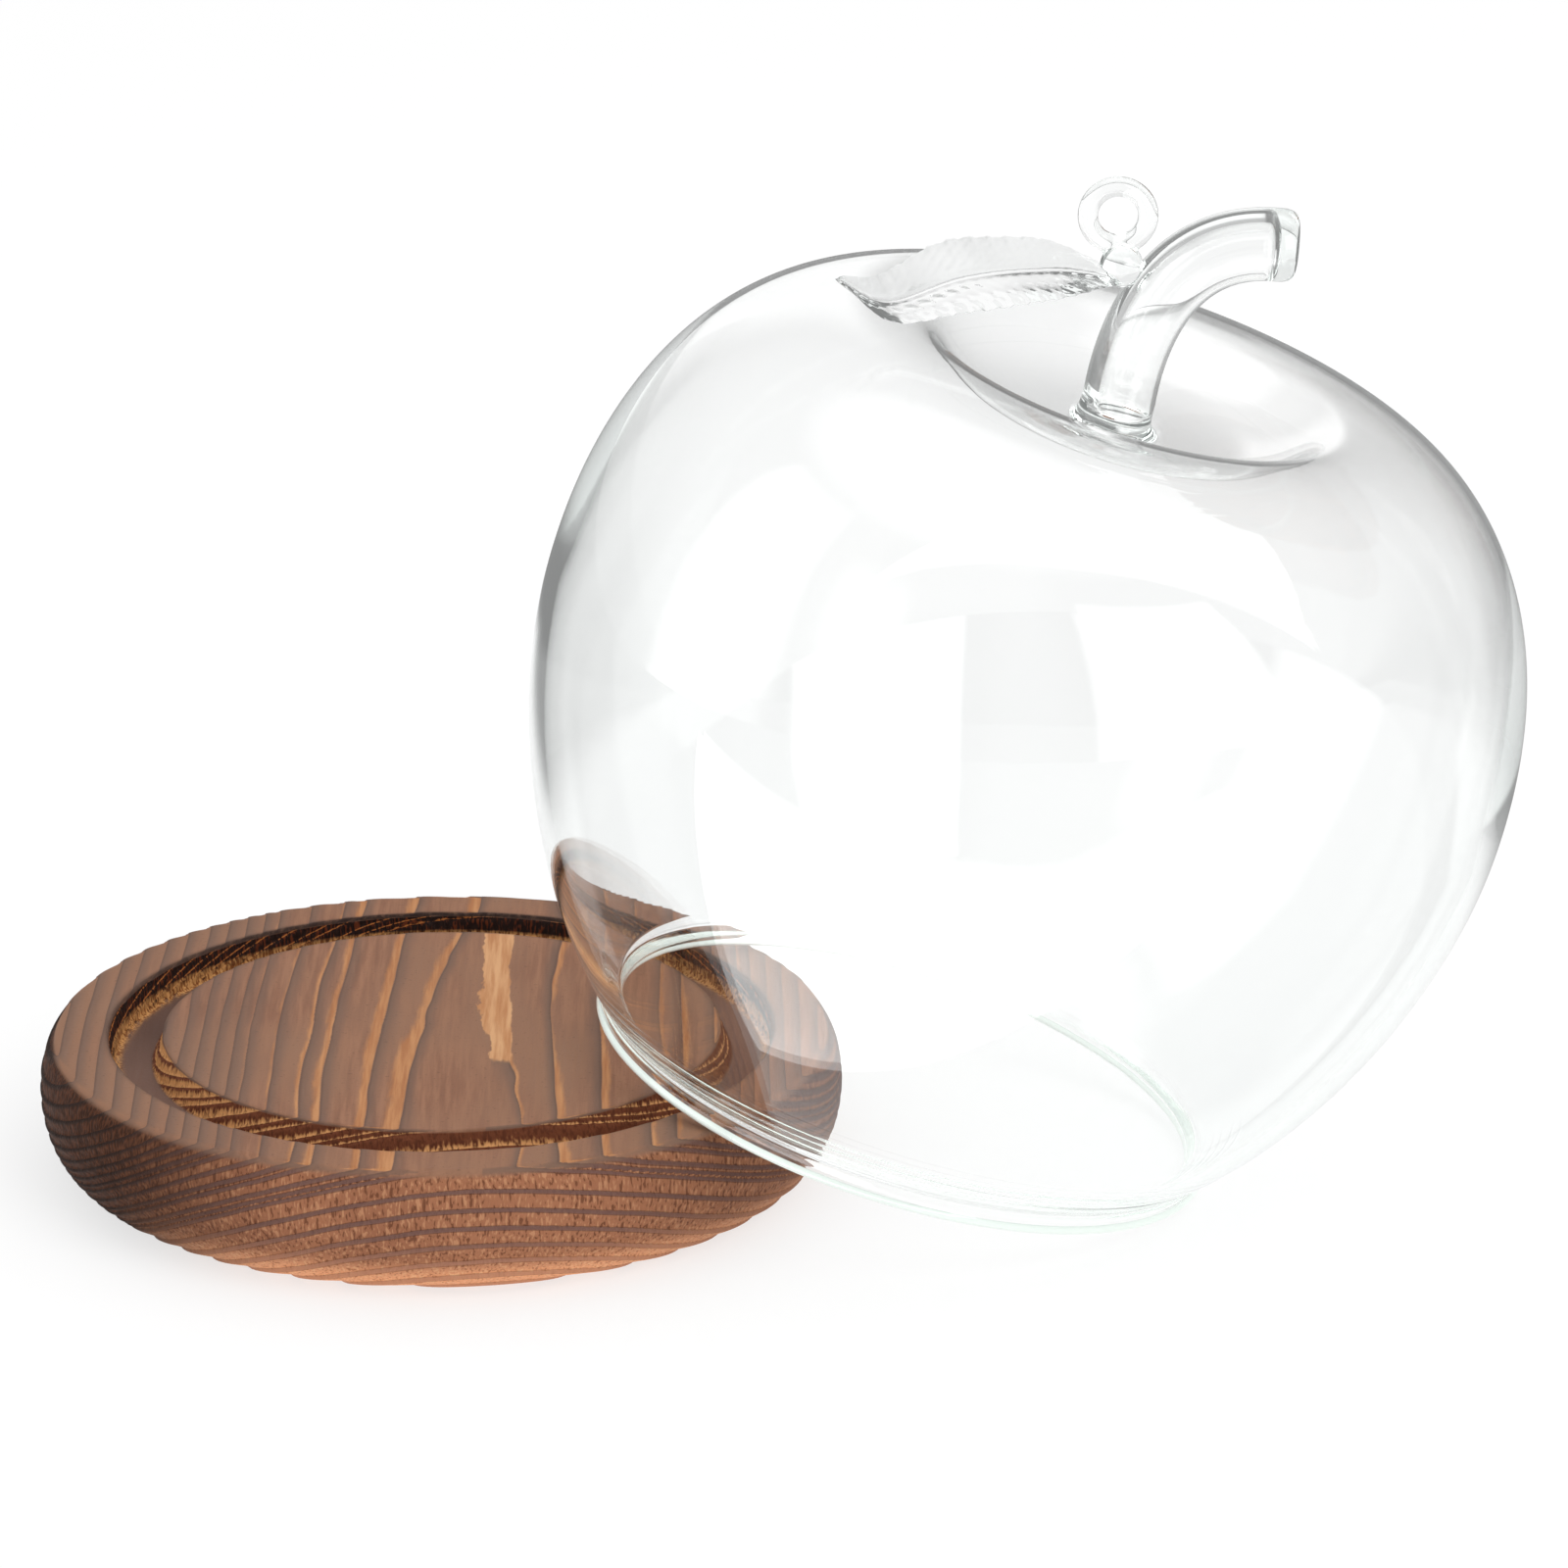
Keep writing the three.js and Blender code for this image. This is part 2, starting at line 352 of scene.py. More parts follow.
# ---------------------------------------------------------------- wood base, in mm
BASE_TOP, BASE_TOP_RADIUS, BELLY, BELLY_Z, FOOT = 22.2, 62.3, 64.8, 13.8, 54.5
GROOVE_OUT, GROOVE_IN, GROOVE_FLOOR = 53.7, 44.8, 17.2
BASE_AROUND = 960
PITH_X, PITH_Z, TAPER = 8.6, -68.0, 0.0079  # the tree's core, under the board
# growth rings, as distances from the core less that of the board's top
RINGS = (-24.6, -21.5, -18.4, -15.2, -12.1, -9.0, -6.0, -3.0, 0.02, 0.76, 1.84, 3.7, 4.66, 6.4, 8.1, 9.0,
         10.2, 11.4, 12.7, 14.3, 15.9, 17.7, 19.5, 21.4, 23.3, 25.2, 27.1)
INNERMOST = 7  # the ring whose edge only just reaches the top
# how wide the streak of bare wood outside each ring's edge is on the flat top,
# to the left and to the right of the core
BARE = {8: (0.0, 1.3), 9: (2.3, 1.5), 10: (1.5, 1.3), 11: (1.3, 1.2), 12: (0.8, 1.0), 13: (0.5, 0.6),
        14: (0.3, 0.4)}
BARE_ELSEWHERE = (0.22, 0.3)
BARE_MOST = 2.5
# the zones of the surface, and how deep brushing wore the soft wood in them
UNDERSIDE, SIDE, OUTER_TOP, OUTER_WALL, BED, INNER_WALL, INNER_TOP = range(7)
SIDE_WEAR, TOP_WEAR, WALL_WEAR, BED_WEAR, UNDERSIDE_WEAR = 0.34, 0.09, 0.20, 0.05, 0.05


def ring_phase(p):
    """Which growth ring each point is in, as ring number plus the share of the way through it."""
    x = p[..., 0] + 0.8 * noise(p, (30, 46, 20), 3)
    z = p[..., 2] + 0.55 * noise(p, (24, 60, 16), 5)
    away = np.hypot(x - PITH_X, z - PITH_Z) + TAPER * p[..., 1] - (BASE_TOP - PITH_Z)
    away = away + 0.10 * noise(p, (7, 22, 7), 7) + 0.03 * noise(p, (2.2, 7, 2.2), 9)
    return np.interp(away, RINGS, np.arange(len(RINGS)))


def base_section():
    """(radius, height) points from the middle of the underside to the middle of the top, and their zones."""
    edge = (BASE_TOP_RADIUS + 0.3, BASE_TOP - 0.8)
    side = np.concatenate([
        bezier([(FOOT, 0), (FOOT + 6.5, 0.6), (BELLY, BELLY_Z * 0.45), (BELLY, BELLY_Z)], 60),
        bezier([(BELLY, BELLY_Z), (BELLY, BASE_TOP - 3.5), edge], 30)[1:],
        bezier([edge, (BASE_TOP_RADIUS + 0.05, BASE_TOP), (BASE_TOP_RADIUS - 0.9, BASE_TOP)], 10)[1:],
    ])
    outer_lip = [(GROOVE_OUT + 0.3, BASE_TOP), (GROOVE_OUT, BASE_TOP), (GROOVE_OUT - 0.15, BASE_TOP - 0.5)]
    outer_wall = [(GROOVE_OUT - 0.2, BASE_TOP - 0.7), (GROOVE_OUT - 1.2, GROOVE_FLOOR + 0.4)]
    bed = [(GROOVE_OUT - 1.4, GROOVE_FLOOR + 0.08), (GROOVE_IN + 2.0, GROOVE_FLOOR + 0.08)]
    inner_wall = [(GROOVE_IN + 1.7, GROOVE_FLOOR + 0.4), (GROOVE_IN + 0.2, BASE_TOP - 0.6)]
    inner_lip = [(GROOVE_IN + 0.12, BASE_TOP - 0.3), (GROOVE_IN, BASE_TOP), (GROOVE_IN - 0.5, BASE_TOP)]
    stretches = [
        (even([(1.0, 0), (FOOT - 0.8, 0)], 3.0), UNDERSIDE),
        (even(side, 0.4), SIDE),
        (even([(BASE_TOP_RADIUS - 1.2, BASE_TOP), (GROOVE_OUT + 0.5, BASE_TOP)], 0.45), OUTER_TOP),
        (even(bezier(outer_lip, 8), 0.15), OUTER_TOP),
        (even(outer_wall, 0.4), OUTER_WALL),
        (even(bed, 0.45), BED),
        (even(inner_wall, 0.4), INNER_WALL),
        (even(bezier(inner_lip, 8), 0.15), INNER_TOP),
        (even([(GROOVE_IN - 0.9, BASE_TOP), (1.0, BASE_TOP)], 0.55), INNER_TOP),
    ]
    points = np.concatenate([s for s, _ in stretches])
    zones = np.concatenate([np.full(len(s), z) for s, z in stretches])
    return points, zones


def brushed(p, normal, phase, zone):
    """The points set back to where brushing wore the soft wood away, between the rings' proud ridges."""
    f = phase - np.floor(phase)
    ridge = ease(f, 0.1, 0.85) * (1 - ease(f, 0.93, 1.0))  # a slow climb, then a sharp step down
    soft = 1 - ridge
    rough = noise(p, (0.7, 0.7, 2.2), 11) + 1
    depth = np.full_like(f, UNDERSIDE_WEAR)
    depth = np.where(zone == SIDE, SIDE_WEAR * soft + 0.05 * soft * rough, depth)
    depth = np.where((zone == OUTER_TOP) | (zone == INNER_TOP), TOP_WEAR * soft, depth)
    depth = np.where((zone == OUTER_WALL) | (zone == INNER_WALL), WALL_WEAR * soft + 0.08 * rough, depth)
    depth = np.where(zone == BED, BED_WEAR * soft, depth)
    # the side's wear eases towards the top's
    edge = ease(p[..., 2], BASE_TOP - 2.2, BASE_TOP - 0.2) * (zone == SIDE)
    return p - normal * (depth * (1 - 0.45 * edge))[..., None]


def wood_base(material):
    section, zones = base_section()
    angle = around(BASE_AROUND)
    along = heading(section)
    radius, height = section[:, 0][:, None], section[:, 1][:, None]
    zone = zones[:, None] + np.zeros_like(angle)
    p = turned(section, angle)
    normal = turned(np.stack([along[:, 1], -along[:, 0]], 1), angle)
    phase = ring_phase(p)
    p = brushed(p, normal, phase, zone)
    verts, faces = strip(p * MM, (0, 0, UNDERSIDE_WEAR * MM), (0, 0, (BASE_TOP - 0.1) * MM))
    obj = make("wood_base_charred", verts, faces, material)

    def attribute(name, values, ends=(0.0, 0.0)):
        """A value for each point; ends are those of the underside's and the top's middle."""
        layer = obj.data.attributes.new(name, "FLOAT", "POINT")
        layer.data.foreach_set("value", np.append(values.ravel(), ends).astype(np.float32))

    attribute("ring", phase, ring_phase(np.array([[0, 0, 0.0], [0, 0, BASE_TOP]])))
    widths = np.append(np.diff(RINGS), 2.0)
    attribute("ring_width", widths[np.clip(np.floor(phase).astype(int), 0, len(widths) - 1)], (3.0, 3.0))
    # how fast the rings go by along the surface
    across = unit(np.stack([p[..., 0] - PITH_X, 0 * phase, p[..., 2] - PITH_Z], -1))
    across[..., 1] = TAPER
    lean = np.linalg.norm(across - normal * (across * normal).sum(-1)[..., None], axis=-1)
    attribute("lean", np.clip(lean, 0.05, 1), (1.0, 0.1))

    on_side = zone == SIDE
    below_edge = 1 - ease(height, BASE_TOP - 1.3, BASE_TOP - 0.5)
    attribute("side", on_side * below_edge + (zone == UNDERSIDE), (1.0, 0.0))
    attribute("outer_wall", (zone == OUTER_WALL) * 1.0)
    attribute("groove_floor", (zone == BED) * 1.0)
    attribute("inner_wall", (zone == INNER_WALL) * 1.0)
    # fibres frayed pale where the cutter left the groove's outer corner
    corner = np.exp(-((radius - (GROOVE_OUT - 1.35)) / 0.7) ** 2) * (height < BASE_TOP - 3.0) * (height > 5)
    attribute("fray", corner + 0 * phase)
    # the burn runs a little way over the groove's lips
    outer_lip = np.exp(-((radius - GROOVE_OUT) / 0.55) ** 2) * (radius > GROOVE_OUT - 0.4)
    inner_lip = np.exp(-((GROOVE_IN - radius) / 0.5) ** 2) * (radius < GROOVE_IN + 0.2)
    flat = (zone == OUTER_TOP) | (zone == INNER_TOP)
    attribute("singed", (outer_lip + 0.6 * inner_lip) * flat * (0.55 + 0.45 * np.sin(angle)))
    leftward = ease(-p[..., 0] + 0.25 * p[..., 1], 4, 44)
    attribute("leftward", leftward)
    # char and painted shade: the side darkens towards the left, partly for its char and partly as painted
    # shade where less light falls, and some way towards the right
    attribute("char_and_side_shade", leftward * on_side + 0.45 * ease(p[..., 0], 20, 56) * on_side)
    # painted light: the side's lower part, lit from below by the white floor, gets paler colours
    attribute("painted_floor_light", on_side * (1 - ease(height, 0.5, 13.0)))
    return obj


class WoodNodes(Nodes):
    """Where a point lies in its growth ring, and the noises of the grain, with lengths in mm."""

    def __init__(self, owner):
        super().__init__(owner)
        where = self.add("ShaderNodeTexCoord").outputs["Object"]
        self.x, self.y = (self.math("DIVIDE", v, MM) for v in self.split(where)[:2])
        ring = self.attribute("ring")
        self.number = self.math("FLOOR", ring)
        self.share = self.math("FRACT", ring)
        width = self.attribute("ring_width")
        self.past = self.times(self.share, width)  # out from the last ring's edge
        self.ahead = self.minus(width, self.past)  # in from this ring's edge
        self.lean = self.attribute("lean")
        # the same two along the surface
        self.past_here, self.ahead_here = (self.math("DIVIDE", v, self.lean) for v in (self.past, self.ahead))
        self.fibre = self.speckle(where, (1, 0.06, 1), 900.0, 3.0, 0.6)
        self.pores = self.speckle(where, (1, 1, 1), 1500.0, 2.0, 0.6)
        self.patchy = self.speckle(where, (1, 0.35, 1), 45.0, 2.0)
        self.ragged = self.speckle(where, (1, 0.16, 1), 900.0, 3.0, 0.7)
        self.torn_edge = self.speckle(where, (1, 0.3, 1), 330.0, 3.0, 0.7)
        self.long_patch = self.speckle(where, (1, 0.3, 1), 75.0, 1.0)
        self.brush = self.speckle(where, (1, 1, 0.24), 2300.0, 1.0, 0.5)


def streaks(n, right):
    """Streaks of bare wood outside the rings' edges, ragged along the grain."""
    reach = n.add("ShaderNodeMix", data_type="FLOAT")
    n.put(reach.inputs["Factor"], right)
    for socket, hand in ((2, 0), (3, 1)):
        widths = [BARE.get(i, BARE_ELSEWHERE)[hand] / BARE_MOST for i in range(len(RINGS))]
        n.put(reach.inputs[socket], n.steps(n.number, widths))
    reach = n.times(reach.outputs[0], BARE_MOST)
    reach = n.times(reach, n.ramp(n.long_patch, 0.25, 0.62, 0.35, 1.35))
    reach = n.plus(reach, n.swing(n.ragged, 1.3))
    streak = n.ramp(n.minus(reach, n.past_here), -0.1, 0.8)
    streak = n.times(streak, n.ramp(n.past_here, 0.0, 0.25))
    streak = n.times(streak, n.ramp(n.long_patch, 0.24, 0.42, 0.25, 1.0))
    return n.times(streak, n.ramp(n.lean, 0.5, 0.36, 0.0, 0.85))


def bare_patch(n):
    """One wide bare patch over the core, with torn sides."""
    jag = n.swing(n.torn_edge, 4.2)
    from_left = n.minus(n.plus(n.x, jag), n.ramp(n.y, 4.0, -5.0, 5.9, 8.2))
    from_right = n.minus(n.ramp(n.y, 30.0, -10.0, 10.6, 11.9), n.plus(n.x, n.times(jag, 0.45)))
    patch = n.times(n.ramp(from_left, -0.1, 0.25), n.ramp(from_right, -0.1, 0.25))
    patch = n.times(patch, n.ramp(n.plus(n.y, n.times(jag, 2.0)), -15.0, -13.0))
    return n.times(patch, n.ramp(n.y, 43.5, 44.0, 1.0, 0.0))


def top_colour(n):
    """The flat top: brown, greying softly towards each ring's dark edge, with bare tan wood outside it."""
    fibres = n.ramp(n.fibre, 0.3, 0.7)
    top = n.mix(fibres, srgb(134, 94, 73), srgb(157, 114, 90))
    top = n.mix(n.ramp(n.patchy, 0.35, 0.65), top, srgb(146, 109, 87))
    top = n.mix(n.times(n.ramp(n.pores, 0.62, 0.75), 0.5), top, srgb(102, 74, 60))
    # the innermost edge shows on one side of the core only
    right = n.ramp(n.x, PITH_X - 0.1, PITH_X + 0.1)
    further_out = n.math("GREATER_THAN", n.size(n.minus(n.number, float(INNERMOST))), 0.5)
    shown = n.most(right, further_out)
    late = n.times(shown, n.ramp(n.plus(n.ahead_here, n.swing(n.ragged, 0.8)), 2.9, 0.0))
    top = n.mix(n.times(late, 0.66), top, srgb(106, 87, 78))
    line = n.times(shown, n.ramp(n.ahead_here, 0.5, 0.0))
    top = n.mix(n.times(line, 0.45), top, srgb(80, 62, 56))
    top = n.mix(streaks(n, right), top, n.mix(fibres, srgb(172, 112, 70), srgb(200, 144, 98)))
    top = n.mix(n.times(bare_patch(n), 0.95), top, n.mix(fibres, srgb(184, 126, 82), srgb(214, 164, 120)))
    singed = n.times(n.attribute("singed"), n.ramp(n.ragged, 0.2, 0.6, 0.6, 1.0))
    return n.mix(singed, top, srgb(48, 36, 33))


def side_colour(n):
    """The turned side: end grain brushed into upright marks between the rings' smooth dark ridges, with
    painted light making it paler low down, and char and painted shade darkening it towards the left and,
    less, towards the right.
    """
    painted_floor_light = n.attribute("painted_floor_light")
    dents, tips = n.ramp(n.brush, 0.42, 0.34), n.times(n.ramp(n.brush, 0.56, 0.66), 0.7)
    plain = n.mix(n.ramp(n.patchy, 0.3, 0.7), srgb(146, 96, 70), srgb(160, 107, 78))
    end = n.mix(tips, n.mix(n.times(dents, 0.8), plain, srgb(98, 58, 39)), srgb(190, 138, 102))
    light = n.mix(n.times(dents, 0.7), srgb(236, 166, 122), srgb(172, 110, 74))
    # painted light: paler end grain low down, for the light thrown up from the floor
    end = n.mix(n.ramp(painted_floor_light, 0.3, 1.0), end, n.mix(tips, light, srgb(244, 192, 146)))
    ridge = n.times(n.ramp(n.ahead, 0.62, 0.48), n.ramp(n.past, 0.0, 0.01))
    foot_of_ridge = n.ramp(n.size(n.minus(n.ahead, 0.62)), 0.14, 0.02)
    crack = n.most(foot_of_ridge, n.ramp(n.past, 0.2, 0.04))
    # the ridges and their cracks are painted paler low down too, for the floor's light
    end = n.mix(n.times(ridge, 0.9), end, n.mix(painted_floor_light, srgb(108, 80, 74), srgb(200, 140, 108)))
    end = n.mix(n.times(crack, 0.6), end, n.mix(painted_floor_light, srgb(64, 42, 38), srgb(140, 88, 60)))
    char = n.mix(n.ramp(n.brush, 0.4, 0.62), srgb(54, 31, 20), srgb(84, 50, 33))
    char = n.mix(n.ramp(n.ahead, 0.7, 0.2), char, srgb(42, 27, 21))
    # char and painted shade darken the side towards the left and right
    return n.mix(n.attribute("char_and_side_shade"), end, char)


def groove_colours(n):
    """The burnt outer wall with brown scratches, the smoked floor, the torn inner wall and frayed fibres."""
    scratch = n.ramp(n.plus(n.past, n.swing(n.ragged, 0.25)), 0.24, 0.12)
    scratch = n.times(scratch, n.ramp(n.brush, 0.36, 0.5))
    burnt = n.mix(n.ramp(n.brush, 0.5, 0.68), srgb(36, 23, 20), srgb(92, 44, 24))
    burnt = n.mix(n.times(scratch, 0.85), burnt, srgb(178, 108, 56))
    smoke = n.mix(n.ramp(n.patchy, 0.35, 0.65), srgb(90, 68, 60), srgb(122, 94, 82))
    stripe = n.plus(n.swing(n.brush, 0.9), n.swing(n.attribute("leftward"), -0.5))
    stripe = n.plus(n.share, stripe)
    torn = n.mix(n.ramp(stripe, 0.22, 0.6), srgb(220, 160, 104), srgb(116, 66, 44))
    torn = n.mix(n.times(n.ramp(n.brush, 0.5, 0.62), 0.45), torn, srgb(72, 38, 26))
    pale = n.mix(n.ramp(n.brush, 0.35, 0.6), srgb(132, 80, 42), srgb(208, 154, 96))
    return burnt, smoke, torn, pale


def wood_material():
    mat = bpy.data.materials.new("charred_wood")
    n = WoodNodes(mat)
    side, outer, inner = (n.attribute(name) for name in ("side", "outer_wall", "inner_wall"))
    burnt, smoke, torn, pale = groove_colours(n)
    colour = n.mix(side, top_colour(n), side_colour(n))
    colour = n.mix(outer, colour, burnt)
    colour = n.mix(n.attribute("groove_floor"), colour, smoke)
    colour = n.mix(inner, colour, torn)
    colour = n.mix(n.times(n.attribute("fray"), n.ramp(n.ragged, 0.3, 0.5)), colour, pale)

    relief = n.plus(n.times(n.fibre, 0.45), n.times(n.pores, 0.3))
    uneven = n.most(n.most(side, inner), outer)
    relief = n.plus(relief, n.times(n.brush, n.times(uneven, 2.0)))
    bump = n.add("ShaderNodeBump")
    bump.inputs["Strength"].default_value = 0.6
    bump.inputs["Distance"].default_value = 0.0003
    n.put(bump.inputs["Height"], relief)

    shader = n.add("ShaderNodeBsdfPrincipled")
    n.put(shader.inputs["Base Color"], colour)
    n.put(shader.inputs["Roughness"], n.ramp(n.fibre, 0.2, 0.8, 0.62, 0.82))
    shader.inputs["Specular IOR Level"].default_value = 0.12
    n.put(shader.inputs["Normal"], bump.outputs[0])
    n.finish(shader.outputs[0])
    return mat


# ---------------------------------------------------------------- glass jar, in mm, its rim at z = 0
NECK, WALL, CREASE_Z = 51.1, 2.4, 3.6
WIDE, WIDE_Z, CREST, CREST_Z, DIMPLE_Z, DIMPLE = 78.8, 70.5, 38.5, 127.4, 117.7, 9.7
CREST_WALL = 0.85
TILT, LEAN, LEAN_OUT = math.radians(16.4), math.radians(-4.8), 74.4
AROUND = 256
TOOLED_TOP, TOOL_LINES, TOOL_DEPTH = 12.5, (4.5, 5.6, 6.7, 8.2, 9.6), 0.07
RIM_HALF, RIM_HEIGHT = 1.3, 0.95
STEM_LINE = [(0.6, 0, 116.4), (-2.6, 0, 130.8), (-1.3, 0, 149.6), (16.2, 0, 152.9)]
STEM_START = 121.2
STEM_RADIUS, BORE_RADIUS, BORE_ASIDE = 5.75, 4.2, 0.6  # the hollow lies off the stem's centre
BORE_START, BORE_ROUNDING = 118.0, 1.6

leaning_place = (
    LEAN_OUT * math.cos(LEAN) * MM,
    LEAN_OUT * math.sin(LEAN) * MM,
    (NECK * math.sin(TILT) + 0.1) * MM,
)
to_row = (
    Matrix.Translation(leaning_place)
    @ Matrix.Rotation(LEAN, 4, "Z")
    @ Matrix.Rotation(TILT, 4, "Y")
    @ Matrix.Rotation(-LEAN, 4, "Z")
    @ Matrix.Scale(MM, 4)
)


def in_row(points):
    m = np.array(to_row)
    return np.asarray(points) @ m[:3, :3].T + m[:3, 3]


def jar_section():
    """The outer line from the crease above the neck to the dimple's floor, and the inner line beside it."""
    crease, belly, crest = (NECK - 0.2, CREASE_Z), (WIDE, WIDE_Z), (CREST, CREST_Z)
    outer = even(np.concatenate([
        bezier([crease, (NECK + 13.0, CREASE_Z + 11.8), (WIDE, WIDE_Z - 27.3), belly], 80),
        bezier([belly, (WIDE, WIDE_Z + 37.0), (CREST + 21.0, CREST_Z), crest], 80)[1:],
        bezier([crest, (CREST - 11.0, CREST_Z), (CREST - 6.0, DIMPLE_Z + 0.1), (DIMPLE, DIMPLE_Z)], 60)[1:],
    ]), 0.9)
    along = heading(outer)
    run = np.linspace(0, 1, len(outer))
    wall = WALL + (CREST_WALL - WALL) * ease(run, 0.42, 0.66)  # blown thinner towards the crest
    inner = outer + wall[:, None] * np.stack([-along[:, 1], along[:, 0]], 1)
    return outer, inner


def shell_rings(angle):
    """The jar from the dimple's underside down the inside, round the rim and up the outside."""
    outer, inner = jar_section()
    fine = even(outer[outer[:, 1] < TOOLED_TOP], 0.09)
    outer = np.concatenate([fine, outer[outer[:, 1] > fine[-1, 1] + 0.3]])
    neck_out = even([(NECK - 0.1, 1.2), (NECK - 0.35, 2.2), (NECK - 0.3, CREASE_Z - 0.3)], 0.3)
    neck_in = [(inner[0, 0] - 0.1, CREASE_Z + 0.6), (NECK - WALL - 0.2, 2.2), (NECK - WALL - 0.15, 1.2)]
    neck_in = even(neck_in, 0.3)
    turn = np.linspace(0.25, math.pi - 0.25, 11)
    rim = np.stack([NECK - RIM_HALF - RIM_HALF * np.cos(turn), RIM_HEIGHT - RIM_HEIGHT * np.sin(turn)], 1)
    inner = inner[::-1]
    inner = inner[inner[:, 1] > 0.9]
    under_dimple = even([(0.8, DIMPLE_Z - CREST_WALL), (DIMPLE - 0.8, DIMPLE_Z - CREST_WALL)], 1.5)
    profile = np.concatenate([under_dimple, inner, neck_in, rim, neck_out, outer])
    p = turned(profile, angle)
    # tooling lines run round the front, above the crease
    lines = sum(np.exp(-((p[..., 2] - h) / 0.2) ** 2) for h in TOOL_LINES)
    on_outside = (np.arange(len(profile)) >= len(profile) - len(outer))[:, None]
    tooled = TOOL_DEPTH * lines * on_outside * ease(-np.sin(angle), -0.1, 0.35)
    # blown glass is never quite round
    wobble = 0.10 * (1 + noise(p, (38, 38, 30), 21)) * ease(p[..., 2], 10, 40)
    away = unit(p * (1, 1, 0))
    return p - away * (wobble + tooled)[..., None]


def tube_rings(line, radii, angle):
    """Rings of points round a line that stays in the XZ plane."""
    along = heading(line)
    across = np.stack([along[:, 2], 0 * along[:, 0], -along[:, 0]], 1)
    side = np.array([0, 1.0, 0])
    r = np.asarray(radii, float)[:, None, None]
    turn = np.cos(angle)[None, :, None] * across[:, None, :] + np.sin(angle)[None, :, None] * side
    return line[:, None, :] + r * turn


def stem_centre(above):
    """The stem's centre line, from this height up."""
    line = even(bezier(STEM_LINE, 200), 0.8)
    return line[line[:, 2] > above]


def stem_rings(angle):
    """The weld that turns up from the dimple's floor, the stem and its closed end, and the end's middle."""
    stem = stem_centre(STEM_START)
    root = stem[0]
    weld = bezier([(STEM_RADIUS + 1.9, DIMPLE_Z - 0.03), (STEM_RADIUS + 0.6, DIMPLE_Z),
                   (STEM_RADIUS, DIMPLE_Z + 0.8), (STEM_RADIUS, root[2] - 0.5)], 9)
    share = np.linspace(0, 1, len(weld))[:, None]
    weld = turned(weld, angle)
    weld[..., 0] += share * root[0]
    weld[..., 2] += 0.15 * noise(weld, (3, 3, 3), 23) * np.sin(math.pi * share)
    body = tube_rings(stem, np.full(len(stem), STEM_RADIUS), angle)
    end_way = unit(stem[-1] - stem[-2])
    cap = bezier([(STEM_RADIUS, 0.4), (STEM_RADIUS, 2.7), (STEM_RADIUS - 2.2, 2.9)], 9)
    cap = np.concatenate([cap, [(2.4, 2.97), (1.0, 3.0)]])
    around_end = tube_rings(np.stack([stem[-1], stem[-1] + end_way]), [1, 1], angle)[1] - stem[-1] - end_way
    cap_rings = np.stack([stem[-1] + end_way * h + around_end * r for r, h in cap])
    return np.concatenate([weld, body, cap_rings]), stem[-1] + end_way * cap[-1, 1]


def stem_hollow(angle):
    """A long bubble with round ends, inside the stem."""
    line = stem_centre(BORE_START)
    run = np.concatenate([[0], np.cumsum(np.linalg.norm(np.diff(line, axis=0), axis=1))])
    ends = np.minimum(run + 0.3, run[-1] - run + 0.3)
    rounding = np.sqrt(np.clip(1 - (1 - np.clip(ends / BORE_ROUNDING, 0, 1)) ** 2, 0.01, 1))
    way = heading(line)
    line = line + BORE_ASIDE * np.stack([way[:, 2], 0 * way[:, 0], -way[:, 0]], 1)
    rings = tube_rings(line, BORE_RADIUS * rounding, angle)
    return strip(in_row(rings), in_row([line[0]])[0], in_row([line[-1]])[0])


def jar_glass(material):
    """The jar and its stem as one skin, with the stem's hollow inside it."""
    angle = around(AROUND)
    stem, stem_end = stem_rings(angle)
    start = in_row([(0, 0, DIMPLE_Z - CREST_WALL)])[0]
    verts, faces = strip(in_row(np.concatenate([shell_rings(angle), stem])), start, in_row([stem_end])[0])
    hollow_verts, hollow_faces = stem_hollow(angle[::4])
    faces += [[len(verts) + v for v in face] for face in inside_out(hollow_faces)]
    return make("jar_glass", np.concatenate([verts, hollow_verts]), faces, material)


def painted_rim_glow(material):
    """Painted light: a pale core just under the rounded rim's surface, standing for the light that the glass
    carries round its rim.
    """
    turn = around(16)
    r = NECK - RIM_HALF + 1.12 * np.cos(turn)
    z = 0.68 + 0.54 * np.sin(turn)
    rings = turned(np.stack([r, z], 1), around(AROUND)).transpose(1, 0, 2)
    return outward("jar_painted_rim_glow", *wrapped(in_row(rings)), material)


# ---------------------------------------------------------------- ring, bead and leaf, in the jar's frame
RING_R, RING_ROD, RING_AT = 4.7, 1.6, np.array([-9.3, 0, 150.4])
RING_FOOT = [(-6.2, -0.6, 143.4), (-8.0, -0.2, 145.2), (-10.9, 0.1, 146.0)]
BEAD_AT, BEAD_HALF = np.array([-6.6, -1.6, 143.2]), np.array([3.4, 3.0, 3.5])
MIDRIB = [(-6.4, -3.0, 141.2), (-12.0, -5.2, 141.6), (-19.0, -8.6, 141.2), (-31.4, -15.0, 138.3),
          (-41.8, -20.0, 133.0), (-50.6, -24.4, 135.4)]
LEAF_HALF, STALK_HALF, LEAF_LENGTH, LEAF_ROLL, LEAF_AROUND = 7.9, 0.9, 52, math.radians(-20), 96
LEAF_THICK, VEIN_STEP, VEIN_SLANT, VEIN_NEAR, VEIN_FAR = 0.62, 2.3, 1.15, 0.035, 0.016


def ball(centre, half, rows=24, cols=32):
    lat = np.linspace(-math.pi / 2, math.pi / 2, rows + 2)[1:-1]
    rings = turned(np.stack([np.cos(lat), np.sin(lat)], 1), around(cols))
    pole = np.array([0, 0, half[2]])
    return strip(rings * half + centre, centre - pole, centre + pole)


